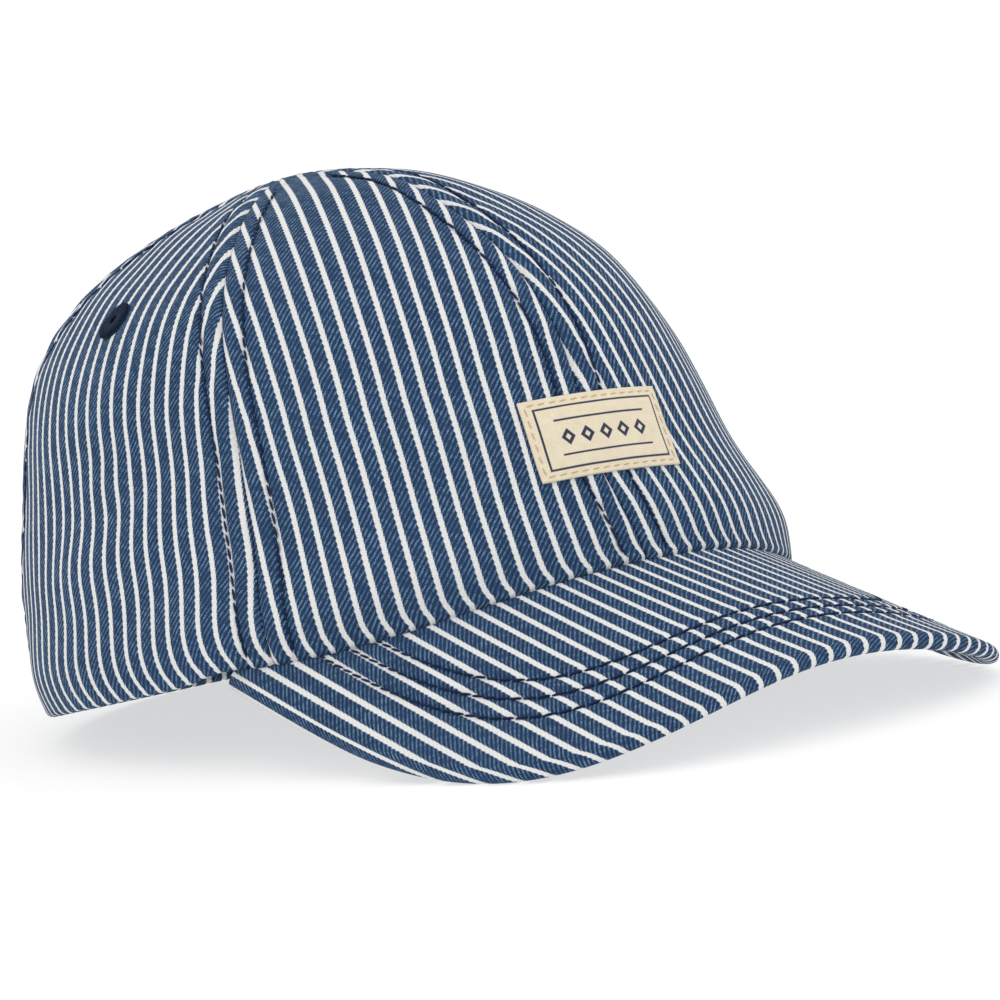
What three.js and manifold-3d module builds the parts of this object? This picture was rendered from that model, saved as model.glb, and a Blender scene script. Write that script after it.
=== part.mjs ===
// Child's six-panel baseball cap in striped denim, standing on a flat surface.
// Millimetres, +Z up. The front is -Y and the wearer's left is +X. The origin is on the surface,
// under the middle of the cap's bounding box.
import * as THREE from 'three';
import Module from 'manifold-3d';

const wasm = await Module();
wasm.setup();

// Crown sizes
const crownHalfFront = 87.3;
const crownHalfBack = 90;
const crownHalfWidth = 72.6;
const crownHeight = 103;
const crownTilt = 9.1;
const apexSetBack = 6.7;
const rearHemLevel = 12.8;
const clothWall = 1.7;
const hemWall = 2.6;
const hemFoldHeight = 10;
const foldDepth = 1.6;

// Seams, as degrees round from the front
const sideSeamAngle = 53.8;
const backSeamAngle = 133;
const seamGap = 0.3;
const fitGap = 0.3;
const tipHoleRadius = 0.9;

// Peak sizes. The sheet slopes down to the front and bends down towards both sides. Its tip lifts
// a little, and it is twisted: the wearer's left side is higher at the tip and lower at the crown.
const peakHalfWidth = 71.7;
const peakCrestHeight = 58.6;
const peakSlope = 16.5;
const peakSideDrop = 29.7;
const peakBendPower = 2.07;
const peakTipLift = 2.1;
const peakLiftStart = 57;
const peakTwist = 0.85;
const peakRearReach = 40.5;
const peakFrontReach = 113.3;
const peakSideFullness = 3;
const peakFrontFullness = 3.33;
const hemSeatAngle = 62.5;
const hemFreeAngle = 70;
const peakThickness = 3.5;
const peakCoverThickness = 1.6;
const peakRimRound = 1;
const peakRimLip = 1.8;
const peakTuck = 1.2;

// Label and eyelets
const labelWidth = 34.3;
const labelHeight = 18.4;
const labelThickness = 0.6;
const labelClimb = 0.198;
const labelTurn = 3;
const eyeletOuterRadius = 4.7;
const eyeletHoleRadius = 1.5;
const eyeletThickness = 1;
const eyeletAngle = 91;
const eyeletClimb = 0.6;

// Mesh density
const panelColumns = 10;
const panelRows = 18;
const peakColumns = 30;
const peakRows = 6;
const labelColumns = 10;
const labelRows = 5;

// Sections of the crown, from the hem to the apex. height is a share of crownHeight, and front,
// side and back are shares of the half lengths and the half width.
const crownSections = [
  { height: 0.0, front: 1.045, side: 1.07, back: 0.92 },
  { height: 0.1, front: 1.03, side: 1.09, back: 0.93 },
  { height: 0.24, front: 1.0, side: 1.01, back: 0.995 },
  { height: 0.4, front: 0.975, side: 0.925, back: 1.0 },
  { height: 0.57, front: 0.92, side: 0.845, back: 0.93 },
  { height: 0.73, front: 0.795, side: 0.735, back: 0.835 },
  { height: 0.86, front: 0.6, side: 0.525, back: 0.675 },
  { height: 0.95, front: 0.365, side: 0.28, back: 0.39 },
  { height: 1.0, front: 0.0, side: 0.0, back: 0.0 },
];

// Soft folds of the cloth. azimuth is in degrees round from the front, positive on the wearer's
// right, height is a share of crownHeight, and depth is a share of foldDepth, positive outwards.
const crownFolds = [
  { azimuth: 92, height: 0.6, width: 30, rise: 0.11, depth: 0.8 },
  { azimuth: 84, height: 0.43, width: 27, rise: 0.1, depth: -1.0 },
  { azimuth: 93, height: 0.27, width: 30, rise: 0.1, depth: 0.8 },
  { azimuth: 49, height: 0.27, width: 9, rise: 0.22, depth: -0.9 },
  { azimuth: 124, height: 0.62, width: 30, rise: 0.4, depth: 0.45 },
  { azimuth: 30, height: 0.1, width: 30, rise: 0.12, depth: 0.5 },
  { azimuth: -50, height: 0.06, width: 34, rise: 0.22, depth: 1.1 },
  { azimuth: -88, height: 0.52, width: 32, rise: 0.12, depth: -0.9 },
  { azimuth: -84, height: 0.3, width: 30, rise: 0.11, depth: 0.8 },
  { azimuth: 150, height: 0.45, width: 26, rise: 0.14, depth: -1.0 },
  { azimuth: -146, height: 0.33, width: 26, rise: 0.14, depth: -0.9 },
];

const denim = new THREE.MeshStandardMaterial({ color: 0x2f4f78, roughness: 0.9, metalness: 0 });
const cotton = new THREE.MeshStandardMaterial({ color: 0xece0c4, roughness: 0.85, metalness: 0 });
const navyThread = new THREE.MeshStandardMaterial({ color: 0x1a2a42, roughness: 0.8, metalness: 0 });

const radians = THREE.MathUtils.degToRad;

// Closed solid through equal closed loops, one for each column. Each loop runs out along one face
// and back along the other, so the ends are closed by a strip between the two.
function loftLoops(loops) {
  const count = loops[0].length;
  const positions = loops.flat().flatMap((point) => [point.x, point.y, point.z]);
  const indices = [];
  for (let column = 0; column + 1 < loops.length; column += 1) {
    for (let row = 0; row < count; row += 1) {
      const next = (row + 1) % count;
      const a = column * count + row;
      const b = column * count + next;
      const c = a + count;
      const d = b + count;
      indices.push(a, b, d, a, d, c);
    }
  }
  const last = (loops.length - 1) * count;
  for (let row = 0; row < count / 2 - 1; row += 1) {
    const far = count - 1 - row;
    indices.push(far - 1, row + 1, row, far, far - 1, row);
    indices.push(last + row, last + row + 1, last + far - 1, last + row, last + far - 1, last + far);
  }
  const geometry = new THREE.BufferGeometry();
  geometry.setAttribute('position', new THREE.Float32BufferAttribute(positions, 3));
  geometry.setIndex(signedVolume(positions, indices) > 0 ? indices : indices.reverse());
  geometry.computeVertexNormals();
  return geometry;
}

function signedVolume(positions, indices) {
  const corner = (index) => new THREE.Vector3().fromArray(positions, 3 * index);
  let total = 0;
  for (let i = 0; i < indices.length; i += 3) {
    const [a, b, c] = [corner(indices[i]), corner(indices[i + 1]), corner(indices[i + 2])];
    total += a.dot(b.cross(c)) / 6;
  }
  return total;
}

// Height of the peak's upper face over a point of the floor plan
function peakHeight(x, y) {
  const reach = -y / Math.cos(radians(peakSlope));
  const endReach = peakRearReach + peakFrontReach;
  const lift = peakTipLift * (Math.max(0, reach - peakLiftStart) / (endReach - peakLiftStart)) ** 2;
  const turn = (peakTwist * (x / peakHalfWidth) * (reach - 0.62 * endReach)) / (0.26 * endReach);
  const sideDrop = peakSideDrop * (Math.abs(x) / peakHalfWidth) ** peakBendPower;
  return peakCrestHeight - reach * Math.sin(radians(peakSlope)) + lift + turn - sideDrop;
}

// Point of the peak at a distance across, a reach forward and a depth below the upper face
function peakPoint(x, reach, depth) {
  const y = -reach * Math.cos(radians(peakSlope));
  const step = 0.5;
  const slopeX = (peakHeight(x + step, y) - peakHeight(x - step, y)) / (2 * step);
  const slopeY = (peakHeight(x, y + step) - peakHeight(x, y - step)) / (2 * step);
  const normal = new THREE.Vector3(-slopeX, -slopeY, 1).normalize();
  return new THREE.Vector3(x, y, peakHeight(x, y)).addScaledVector(normal, -depth);
}

// Outer edge of the peak's plan, drawn in by inset. across runs from -1 to 1.
function peakEdge(across, inset) {
  const fullness = Math.max(0, 1 - Math.abs(across) ** peakSideFullness) ** (1 / peakFrontFullness);
  return new THREE.Vector2((peakHalfWidth - inset) * across, peakRearReach + (peakFrontReach - inset) * fullness);
}

// Meridian of the crown at one azimuth, as radius and height, carried past the apex
function makeMeridian(azimuth) {
  const forward = Math.cos(azimuth);
  const sideShare = Math.sin(azimuth) ** 2;
  const endShare = forward ** 2;
  const halfLength = forward >= 0 ? crownHalfFront : crownHalfBack;
  const reach = 1 / Math.hypot(forward / halfLength, Math.sin(azimuth) / crownHalfWidth);
  const points = crownSections.map((row) => {
    const share = row.side * sideShare + (forward >= 0 ? row.front : row.back) * endShare;
    return new THREE.Vector3(share * reach, row.height * crownHeight, 0);
  });
  const beyond = points[points.length - 2].clone();
  beyond.x *= -1;
  const curve = new THREE.CatmullRomCurve3([...points, beyond], false, 'catmullrom', 0.5);
  curve.arcLengthDivisions = 240;
  const lengths = curve.getLengths();
  const apexLength = lengths[Math.round((240 * (points.length - 1)) / points.length)];
  return { curve, apexShare: apexLength / lengths[240], length: apexLength };
}

const meridians = new Map();
function meridianAt(azimuth) {
  const key = azimuth.toFixed(5);
  if (!meridians.has(key)) {
    meridians.set(key, makeMeridian(azimuth));
  }
  return meridians.get(key);
}

function foldOffset(azimuth, heightShare) {
  let offset = 0;
  for (const fold of crownFolds) {
    const turn = THREE.MathUtils.euclideanModulo(azimuth * (180 / Math.PI) - fold.azimuth + 180, 360) - 180;
    const spread = (turn / fold.width) ** 2 + ((heightShare - fold.height) / fold.rise) ** 2;
    offset += foldDepth * fold.depth * Math.exp(-1.5 * spread);
  }
  return offset;
}

// Hat frame to floor frame: the crown leans back about X, and its rear hem is near the floor
function tiltToFloor(x, y, z) {
  const lean = radians(crownTilt);
  return new THREE.Vector3(
    x,
    y * Math.cos(lean) + z * Math.sin(lean),
    rearHemLevel - y * Math.sin(lean) + z * Math.cos(lean),
  );
}

// Point of the crown's outer face before the hem is seated. climb is 0 at the hem, 1 at the apex.
function freeSkin(azimuth, climb) {
  const meridian = meridianAt(azimuth);
  const section = meridian.curve.getPointAt(Math.min(1, climb * meridian.apexShare));
  const heightShare = section.y / crownHeight;
  const radius = section.x + foldOffset(azimuth, heightShare) * THREE.MathUtils.smoothstep(1 - heightShare, 0, 0.2);
  const back = apexSetBack * THREE.MathUtils.smoothstep(heightShare, 0, 1);
  return {
    point: tiltToFloor(-radius * Math.sin(azimuth), back - radius * Math.cos(azimuth), section.y),
    heightShare,
  };
}

// Share of the hem's seat on the peak: 1 over the peak, 0 where the hem is free
function seatShare(azimuth) {
  const turn = Math.abs(azimuth);
  return 1 - THREE.MathUtils.smoothstep(turn, radians(hemSeatAngle), radians(hemFreeAngle));
}

// The crown's hem rises to sit on the peak, and the cloth above it follows less and less
function crownSkin(azimuth, climb) {
  const { point, heightShare } = freeSkin(azimuth, climb);
  const share = seatShare(azimuth);
  if (share > 0) {
    const hem = freeSkin(azimuth, 0).point;
    point.z += share * (peakHeight(hem.x, hem.y) + fitGap - hem.z) * (1 - heightShare) ** 3;
  }
  return point;
}

// Hem corner set down exactly on the peak or, where it is free, no lower than the floor
function seatHem(point, azimuth) {
  if (seatShare(azimuth) > 0.999) {
    point.z = peakHeight(point.x, point.y) + fitGap;
  }
  point.z = Math.max(0, point.z);
}

function crownNormal(azimuth, climb) {
  const turn = 0.01;
  const step = 0.01;
  const upper = Math.min(1, climb + step);
  const lower = Math.max(0, climb - step);
  const across = crownSkin(azimuth + turn, climb).sub(crownSkin(azimuth - turn, climb));
  const up = crownSkin(azimuth, upper).sub(crownSkin(azimuth, lower));
  return up.cross(across).normalize();
}

// Point of the crown's outer face, moved outwards by offset
function crownPoint(azimuth, climb, offset) {
  return crownSkin(azimuth, climb).addScaledVector(crownNormal(azimuth, climb), offset);
}

// Radius from the crown's upright axis, for turning a width along the cloth into an angle
function turnRadius(azimuth, climb) {
  const turn = 0.02;
  return crownSkin(azimuth + turn, climb).distanceTo(crownSkin(azimuth - turn, climb)) / (2 * turn);
}

function wallAt(azimuth, climb) {
  const height = climb * meridianAt(azimuth).length;
  return THREE.MathUtils.lerp(hemWall, clothWall, THREE.MathUtils.smoothstep(height, 0, hemFoldHeight));
}

// Gore panel between two seams, given in degrees round from the front
function makePanel(startAngle, endAngle) {
  const lastClimb = 1 - (tipHoleRadius + seamGap) / meridianAt(radians((startAngle + endAngle) / 2)).length;
  const loops = [];
  for (let column = 0; column <= panelColumns; column += 1) {
    const share = column / panelColumns;
    const outer = [];
    const inner = [];
    for (let row = 0; row <= panelRows; row += 1) {
      const climb = (lastClimb * row) / panelRows;
      const start = radians(startAngle);
      const end = radians(endAngle);
      const margin = seamGap / 2 / Math.max(tipHoleRadius, turnRadius((start + end) / 2, climb));
      const azimuth = THREE.MathUtils.lerp(start + margin, end - margin, share);
      const outside = crownPoint(azimuth, climb, 0);
      const inside = crownPoint(azimuth, climb, -wallAt(azimuth, climb));
      if (row === 0) {
        seatHem(outside, azimuth);
        inside.z = outside.z;
        seatHem(inside, azimuth);
      }
      outer.push(outside);
      inner.push(inside);
    }
    loops.push([...outer, ...inner.reverse()]);
  }
  return loftLoops(loops);
}

// Merged solid of a plain geometry, for cutting
function toSolid(geometry) {
  const vertices = [];
  const known = new Map();
  const remap = [];
  const position = geometry.getAttribute('position');
  for (let i = 0; i < position.count; i += 1) {
    const corner = [position.getX(i), position.getY(i), position.getZ(i)];
    const key = corner.map((value) => value.toFixed(4)).join(' ');
    if (!known.has(key)) {
      known.set(key, vertices.length / 3);
      vertices.push(...corner);
    }
    remap.push(known.get(key));
  }
  const triVerts = [];
  for (let i = 0; i < geometry.index.count; i += 3) {
    const face = [0, 1, 2].map((corner) => remap[geometry.index.getX(i + corner)]);
    if (new Set(face).size === 3) {
      triVerts.push(...face);
    }
  }
  const mesh = new wasm.Mesh({
    numProp: 3,
    vertProperties: new Float32Array(vertices),
    triVerts: new Uint32Array(triVerts),
  });
  return new wasm.Manifold(mesh);
}

function fromSolid(solid) {
  const mesh = solid.getMesh();
  const geometry = new THREE.BufferGeometry();
  geometry.setAttribute('position', new THREE.Float32BufferAttribute(mesh.vertProperties, 3));
  geometry.setIndex([...mesh.triVerts]);
  geometry.computeVertexNormals();
  return geometry;
}

// Where an eyelet sits: its place on the cloth and the turn from +Z to the cloth's normal
function eyeletSeat(azimuth) {
  const normal = crownNormal(azimuth, eyeletClimb);
  const turn = new THREE.Quaternion().setFromUnitVectors(new THREE.Vector3(0, 0, 1), normal);
  return { point: crownSkin(azimuth, eyeletClimb), normal, turn };
}

// Side panel with its ventilation hole cut through
function makeSidePanel(startAngle, endAngle, azimuth) {
  const seat = eyeletSeat(azimuth);
  const drill = new THREE.CylinderGeometry(eyeletHoleRadius, eyeletHoleRadius, 6 * clothWall, 14);
  drill.rotateX(Math.PI / 2);
  drill.applyQuaternion(seat.turn);
  drill.translate(seat.point.x, seat.point.y, seat.point.z);
  return fromSolid(toSolid(makePanel(startAngle, endAngle)).subtract(toSolid(drill)));
}

// Stitched ring round a ventilation hole
function makeEyelet() {
  const sag = eyeletOuterRadius ** 2 / (2 * crownHalfWidth * 0.8);
  const low = fitGap + sag;
  const high = low + eyeletThickness;
  const middle = (eyeletHoleRadius + eyeletOuterRadius) / 2;
  const profile = [
    new THREE.Vector2(eyeletHoleRadius, low),
    new THREE.Vector2(eyeletOuterRadius, low),
    new THREE.Vector2(middle + (eyeletOuterRadius - middle) * 0.6, low + eyeletThickness * 0.8),
    new THREE.Vector2(middle, high),
    new THREE.Vector2(eyeletHoleRadius, low + eyeletThickness * 0.5),
    new THREE.Vector2(eyeletHoleRadius, low),
  ];
  const geometry = new THREE.LatheGeometry(profile, 20);
  geometry.rotateX(Math.PI / 2);
  return geometry;
}

// Inner edge of the peak, under the crown's wall, at the same share across as the outer edge
function peakInnerEdge(across) {
  const x = (peakHalfWidth - hemWall - peakTuck) * across;
  let low = 0;
  let high = Math.PI / 2;
  for (let step = 0; step < 30; step += 1) {
    const azimuth = (low + high) / 2;
    if (-crownPoint(azimuth, 0, -hemWall - peakTuck).x < Math.abs(x)) {
      low = azimuth;
    } else {
      high = azimuth;
    }
  }
  const reach = -crownPoint(low, 0, -hemWall - peakTuck).y / Math.cos(radians(peakSlope));
  return new THREE.Vector2(x, Math.max(reach, peakRearReach));
}

// Section loops of one peak cover. Each row of the section names an inset and a depth on the rim,
// and the flat stretches are divided into peakRows.
function makePeakCover(section) {
  const loops = [];
  for (let column = 0; column <= peakColumns; column += 1) {
    const across = Math.sin((Math.PI / 2) * ((2 * column) / peakColumns - 1));
    const inner = peakInnerEdge(across);
    const loop = [];
    for (const { share, inset, depth } of section) {
      const edge = peakEdge(across, inset);
      const x = THREE.MathUtils.lerp(inner.x, edge.x, share);
      const reach = THREE.MathUtils.lerp(inner.y, edge.y, share);
      loop.push(peakPoint(x, reach, depth));
    }
    loops.push(loop);
  }
  return loftLoops(loops);
}

function stretch(fromShare, toShare, inset, depth) {
  return Array.from({ length: peakRows + 1 }, (_, row) => ({
    share: THREE.MathUtils.lerp(fromShare, toShare, row / peakRows),
    inset,
    depth,
  }));
}

function makePeakTopCover() {
  return makePeakCover([
    ...stretch(0, 1, peakRimRound, 0),
    { share: 1, inset: 0, depth: peakRimRound },
    { share: 1, inset: 0, depth: peakThickness - peakRimRound },
    { share: 1, inset: peakRimRound, depth: peakThickness },
    { share: 1, inset: peakRimLip, depth: peakThickness },
    ...stretch(1, 0, peakRimLip, peakCoverThickness),
  ]);
}

function makePeakUnderCover() {
  const inset = peakRimLip + fitGap;
  return makePeakCover([
    ...stretch(0, 1, inset, peakCoverThickness + fitGap),
    ...stretch(1, 0, inset, peakThickness),
  ]);
}

// Woven label laid over the centre-front seam, curved with the cloth
function makeLabel() {
  const length = meridianAt(0).length;
  const place = (column, row, offset) => {
    const flat = new THREE.Vector2(
      (column / labelColumns - 0.5) * labelWidth,
      (row / labelRows - 0.5) * labelHeight,
    ).rotateAround(new THREE.Vector2(), radians(labelTurn));
    const climb = labelClimb + flat.y / length;
    return crownPoint(flat.x / turnRadius(0, climb), climb, offset);
  };
  const loops = [];
  for (let column = 0; column <= labelColumns; column += 1) {
    const outer = [];
    const inner = [];
    for (let row = 0; row <= labelRows; row += 1) {
      outer.push(place(column, row, fitGap + labelThickness));
      inner.push(place(column, row, fitGap));
    }
    loops.push([...outer, ...inner.reverse()]);
  }
  return loftLoops(loops);
}

function addMesh(parent, name, geometry, material) {
  const mesh = new THREE.Mesh(geometry, material);
  mesh.name = name;
  parent.add(mesh);
  return mesh;
}

const cap = new THREE.Group();
cap.name = 'cap';

const crown = new THREE.Group();
crown.name = 'crown';
cap.add(crown);
addMesh(crown, 'crown_front_right', makePanel(0, sideSeamAngle), denim);
addMesh(crown, 'crown_front_left', makePanel(-sideSeamAngle, 0), denim);
const eyeletRight = radians(eyeletAngle);
const eyeletLeft = -eyeletRight;
addMesh(crown, 'crown_side_right', makeSidePanel(sideSeamAngle, backSeamAngle, eyeletRight), denim);
addMesh(crown, 'crown_side_left', makeSidePanel(-backSeamAngle, -sideSeamAngle, eyeletLeft), denim);
addMesh(crown, 'crown_back_right', makePanel(backSeamAngle, 180), denim);
addMesh(crown, 'crown_back_left', makePanel(-180, -backSeamAngle), denim);

for (const [name, azimuth] of [['eyelet_right', eyeletRight], ['eyelet_left', eyeletLeft]]) {
  const eyelet = addMesh(crown, name, makeEyelet(), navyThread);
  const seat = eyeletSeat(azimuth);
  eyelet.position.copy(seat.point);
  eyelet.quaternion.copy(seat.turn);
}

const peak = new THREE.Group();
peak.name = 'peak';
cap.add(peak);
addMesh(peak, 'peak_top_cover', makePeakTopCover(), denim);
addMesh(peak, 'peak_under_cover', makePeakUnderCover(), denim);
addMesh(cap, 'label', makeLabel(), cotton);

// The cap stands on the surface, with the origin under the middle of its box
cap.updateMatrixWorld(true);
const box = new THREE.Box3().setFromObject(cap, true);
const middle = box.getCenter(new THREE.Vector3());
cap.position.set(-middle.x, -middle.y, -box.min.z);

export default cap;
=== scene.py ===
# %% [markdown]
# # A child's striped denim cap
# The cap stands on its rear hem and on the two low corners of its peak. It has six gore panels of
# hickory-striped denim, a curved peak covered in the same cloth, an embroidered ventilation hole in
# each side panel and a woven cotton label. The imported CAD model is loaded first: it fixes where
# everything is, and each dressed piece replaces the plain solid of its own name.

# %% Load the frame
import bpy
import bmesh
import math
import numpy as np
from mathutils import Matrix, Vector, noise


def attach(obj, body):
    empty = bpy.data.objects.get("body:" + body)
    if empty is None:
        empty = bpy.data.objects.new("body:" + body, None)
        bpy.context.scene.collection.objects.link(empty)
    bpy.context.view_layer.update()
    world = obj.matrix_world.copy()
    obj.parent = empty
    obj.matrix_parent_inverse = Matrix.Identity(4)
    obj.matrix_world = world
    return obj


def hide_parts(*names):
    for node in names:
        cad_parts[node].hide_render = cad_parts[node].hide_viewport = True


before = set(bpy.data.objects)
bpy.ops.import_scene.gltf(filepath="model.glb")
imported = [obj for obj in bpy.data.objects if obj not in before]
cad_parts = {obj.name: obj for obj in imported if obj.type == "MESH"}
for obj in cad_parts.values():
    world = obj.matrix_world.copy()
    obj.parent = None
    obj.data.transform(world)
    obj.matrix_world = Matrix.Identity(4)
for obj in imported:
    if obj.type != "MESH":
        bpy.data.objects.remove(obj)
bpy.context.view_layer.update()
MM = 0.001
UV_UNIT = 100                      # one unit of a UV map is this many mm

# %% [markdown]
# ## The sizes
# These are the part's own driving sizes, in millimetres, so that each piece lands on its solid. The
# crown is a table of sections from hem to apex. Shares of three half lengths are easier to read and
# to change than radii, and a smooth curve through the rows gives the meridian at any azimuth.
# Azimuth is 0 at the front and positive towards the wearer's right.

# %% The sizes of crown and peak
HALF_FRONT, HALF_BACK, HALF_WIDTH, CROWN_HEIGHT = 87.3, 90.0, 72.6, 103.0
TILT, APEX_BACK, REAR_HEM = math.radians(9.1), 6.7, 12.8
SIDE_SEAM, BACK_SEAM = 53.8, 133.0
SECTIONS = np.array([  # height, front, side, back
    (0.00, 1.045, 1.070, 0.920),
    (0.10, 1.030, 1.090, 0.930),
    (0.24, 1.000, 1.010, 0.995),
    (0.40, 0.975, 0.925, 1.000),
    (0.57, 0.920, 0.845, 0.930),
    (0.73, 0.795, 0.735, 0.835),
    (0.86, 0.600, 0.525, 0.675),
    (0.95, 0.365, 0.280, 0.390),
    (1.00, 0.000, 0.000, 0.000),
])
FOLD_DEPTH = 1.6
FOLDS = [  # azimuth, height, width, rise, depth
    (92, 0.60, 30, 0.11, 0.8), (84, 0.43, 27, 0.10, -1.0), (93, 0.27, 30, 0.10, 0.8),
    (49, 0.27, 9, 0.22, -0.9), (124, 0.62, 30, 0.40, 0.45), (30, 0.10, 30, 0.12, 0.5),
    (-50, 0.06, 34, 0.22, 1.1), (-88, 0.52, 32, 0.12, -0.9), (-84, 0.30, 30, 0.11, 0.8),
    (150, 0.45, 26, 0.14, -1.0), (-146, 0.33, 26, 0.14, -0.9),
]
PEAK_WIDTH, PEAK_CREST, PEAK_SLOPE = 71.7, 58.6, math.radians(16.5)
PEAK_DROP, PEAK_POWER, PEAK_LIFT, PEAK_LIFT_START, PEAK_TWIST = 29.7, 2.07, 2.1, 57.0, 0.85
PEAK_REAR, PEAK_FRONT, PEAK_SIDE_FULL, PEAK_FRONT_FULL = 40.5, 113.3, 3.0, 3.33
PEAK_THICK = 3.5
SEAT_FROM, SEAT_TO = math.radians(62.5), math.radians(70)
SEAM_GAP = 0.3                     # between the crown's hem and the peak
STRIPE = 4.30                      # from one white stripe to the next
SHIFT = np.array([-0.086, 24.835, 0.0])

# %% [markdown]
# ## The crown's surface
# One function gives the place of any point of the crown's outer face. A table of meridians is worked
# out once and looked up after that, which keeps the script quick. The climb is the share of the way
# up the meridian: 0 at the hem and 1 at the apex.

# %% The crown as a function
AZ_STEPS, CLIMB_STEPS = 721, 401


def smooth(x, low, high):
    t = np.clip((x - low) / (high - low), 0, 1)
    return t * t * (3 - 2 * t)


def meridian_table():
    azimuth = np.linspace(-np.pi, np.pi, AZ_STEPS)
    forward = np.cos(azimuth)
    end = np.where(forward[:, None] >= 0, SECTIONS[None, :, 1], SECTIONS[None, :, 3])
    share = SECTIONS[None, :, 2] * np.sin(azimuth)[:, None] ** 2 + end * forward[:, None] ** 2
    half = np.where(forward >= 0, HALF_FRONT, HALF_BACK)
    reach = 1 / np.hypot(forward / half, np.sin(azimuth) / HALF_WIDTH)
    radius = share * reach[:, None]
    height = np.repeat(SECTIONS[None, :, 0] * CROWN_HEIGHT, AZ_STEPS, 0)
    rows = np.stack([radius, height], -1)
    first = 2 * rows[:, :1] - rows[:, 1:2]
    beyond = rows[:, -2:-1] * [-1, 1]
    rows = np.concatenate([first, rows, beyond], 1)
    t = np.linspace(0, 1, 41)[None, None, :, None]
    p0, p1, p2, p3 = (rows[:, i:rows.shape[1] - 3 + i, None] for i in range(4))
    curve = 0.5 * (2 * p1 + (p2 - p0) * t + (2 * p0 - 5 * p1 + 4 * p2 - p3) * t ** 2
                   + (3 * p1 - p0 - 3 * p2 + p3) * t ** 3)
    line = np.concatenate([curve[:, :, :-1].reshape(AZ_STEPS, -1, 2), curve[:, -1, -1:]], 1)
    along = np.cumsum(np.hypot(*np.moveaxis(np.diff(line, axis=1), -1, 0)), 1)
    along = np.concatenate([np.zeros((AZ_STEPS, 1)), along], 1)
    climbs = np.linspace(0, 1, CLIMB_STEPS)
    out = np.empty((AZ_STEPS, CLIMB_STEPS, 2))
    for i in range(AZ_STEPS):
        share_up = along[i] / along[i, -1]
        out[i, :, 0] = np.interp(climbs, share_up, line[i, :, 0])
        out[i, :, 1] = np.interp(climbs, share_up, line[i, :, 1])
    return out, along[:, -1]


MERIDIANS, LENGTHS = meridian_table()


def meridian_length(azimuth):
    return np.interp(azimuth, np.linspace(-np.pi, np.pi, AZ_STEPS), LENGTHS)


def peak_height(x, y):
    reach = -y / math.cos(PEAK_SLOPE)
    end = PEAK_REAR + PEAK_FRONT
    lift = PEAK_LIFT * (np.maximum(0, reach - PEAK_LIFT_START) / (end - PEAK_LIFT_START)) ** 2
    twist = PEAK_TWIST * (x / PEAK_WIDTH) * (reach - 0.62 * end) / (0.26 * end)
    drop = PEAK_DROP * (np.abs(x) / PEAK_WIDTH) ** PEAK_POWER
    return PEAK_CREST - reach * math.sin(PEAK_SLOPE) + lift + twist - drop


def free_skin(azimuth, climb):
    azimuth, climb = np.broadcast_arrays(np.asarray(azimuth, float), np.asarray(climb, float))
    turn = (azimuth + np.pi) % (2 * np.pi) / (2 * np.pi) * (AZ_STEPS - 1)
    i = np.minimum(turn.astype(int), AZ_STEPS - 2)
    u = (turn - i)[..., None]
    rise = np.clip(climb, 0, 1) * (CLIMB_STEPS - 1)
    j = np.minimum(rise.astype(int), CLIMB_STEPS - 2)
    v = (rise - j)[..., None]
    section = ((1 - u) * ((1 - v) * MERIDIANS[i, j] + v * MERIDIANS[i, j + 1])
               + u * ((1 - v) * MERIDIANS[i + 1, j] + v * MERIDIANS[i + 1, j + 1]))
    share = section[..., 1] / CROWN_HEIGHT
    fold = np.zeros_like(share)
    for fold_azimuth, height, width, spread, depth in FOLDS:
        apart = (np.degrees(azimuth) - fold_azimuth + 180) % 360 - 180
        away = (apart / width) ** 2 + ((share - height) / spread) ** 2
        fold += FOLD_DEPTH * depth * np.exp(-1.5 * away)
    radius = section[..., 0] + fold * smooth(1 - share, 0, 0.2)
    x = -radius * np.sin(azimuth)
    y = APEX_BACK * smooth(share, 0, 1) - radius * np.cos(azimuth)
    z = section[..., 1]
    place = np.stack([x, y * math.cos(TILT) + z * math.sin(TILT),
                      REAR_HEM - y * math.sin(TILT) + z * math.cos(TILT)], -1)
    return place, share


def crown_skin(azimuth, climb):
    place, share = free_skin(azimuth, climb)
    hem, _ = free_skin(azimuth, np.zeros_like(share))
    seated = 1 - smooth(np.abs(azimuth), SEAT_FROM, SEAT_TO)
    lift = peak_height(hem[..., 0], hem[..., 1]) + SEAM_GAP - hem[..., 2]
    place[..., 2] += seated * lift * (1 - share) ** 3
    return place


def unit(v):
    return v / np.maximum(np.linalg.norm(v, axis=-1, keepdims=True), 1e-9)


def crown_normal(azimuth, climb):
    azimuth, climb = np.broadcast_arrays(np.asarray(azimuth, float), np.asarray(climb, float))
    across = crown_skin(azimuth + 0.012, climb) - crown_skin(azimuth - 0.012, climb)
    above, below = np.minimum(1, climb + 0.008), np.maximum(0, climb - 0.008)
    up = crown_skin(azimuth, above) - crown_skin(azimuth, below)
    normal = unit(np.cross(up, across))
    steep = smooth(climb, 0.975, 1.0)[..., None]
    return unit(normal * (1 - steep) + steep * np.array([0, math.sin(TILT), math.cos(TILT)]))


def crown_point(azimuth, climb, offset):
    return crown_skin(azimuth, climb) + crown_normal(azimuth, climb) * np.asarray(offset)[..., None]


def to_metres(point):
    return (point + SHIFT) * MM


print("front meridian", round(float(LENGTHS[AZ_STEPS // 2]), 1), "mm")

# %% [markdown]
# ## Making sheets
# Cloth is a sheet, so every cloth piece starts as a Blender grid. The grid's vertices are then moved
# onto the surface, and its UV map keeps the place on the flat cloth in hundredths of a metre: the
# stripes and the weave follow the cut of the panel, as on the real one. A second map keeps how far
# each point is from the nearest seam.

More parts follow.
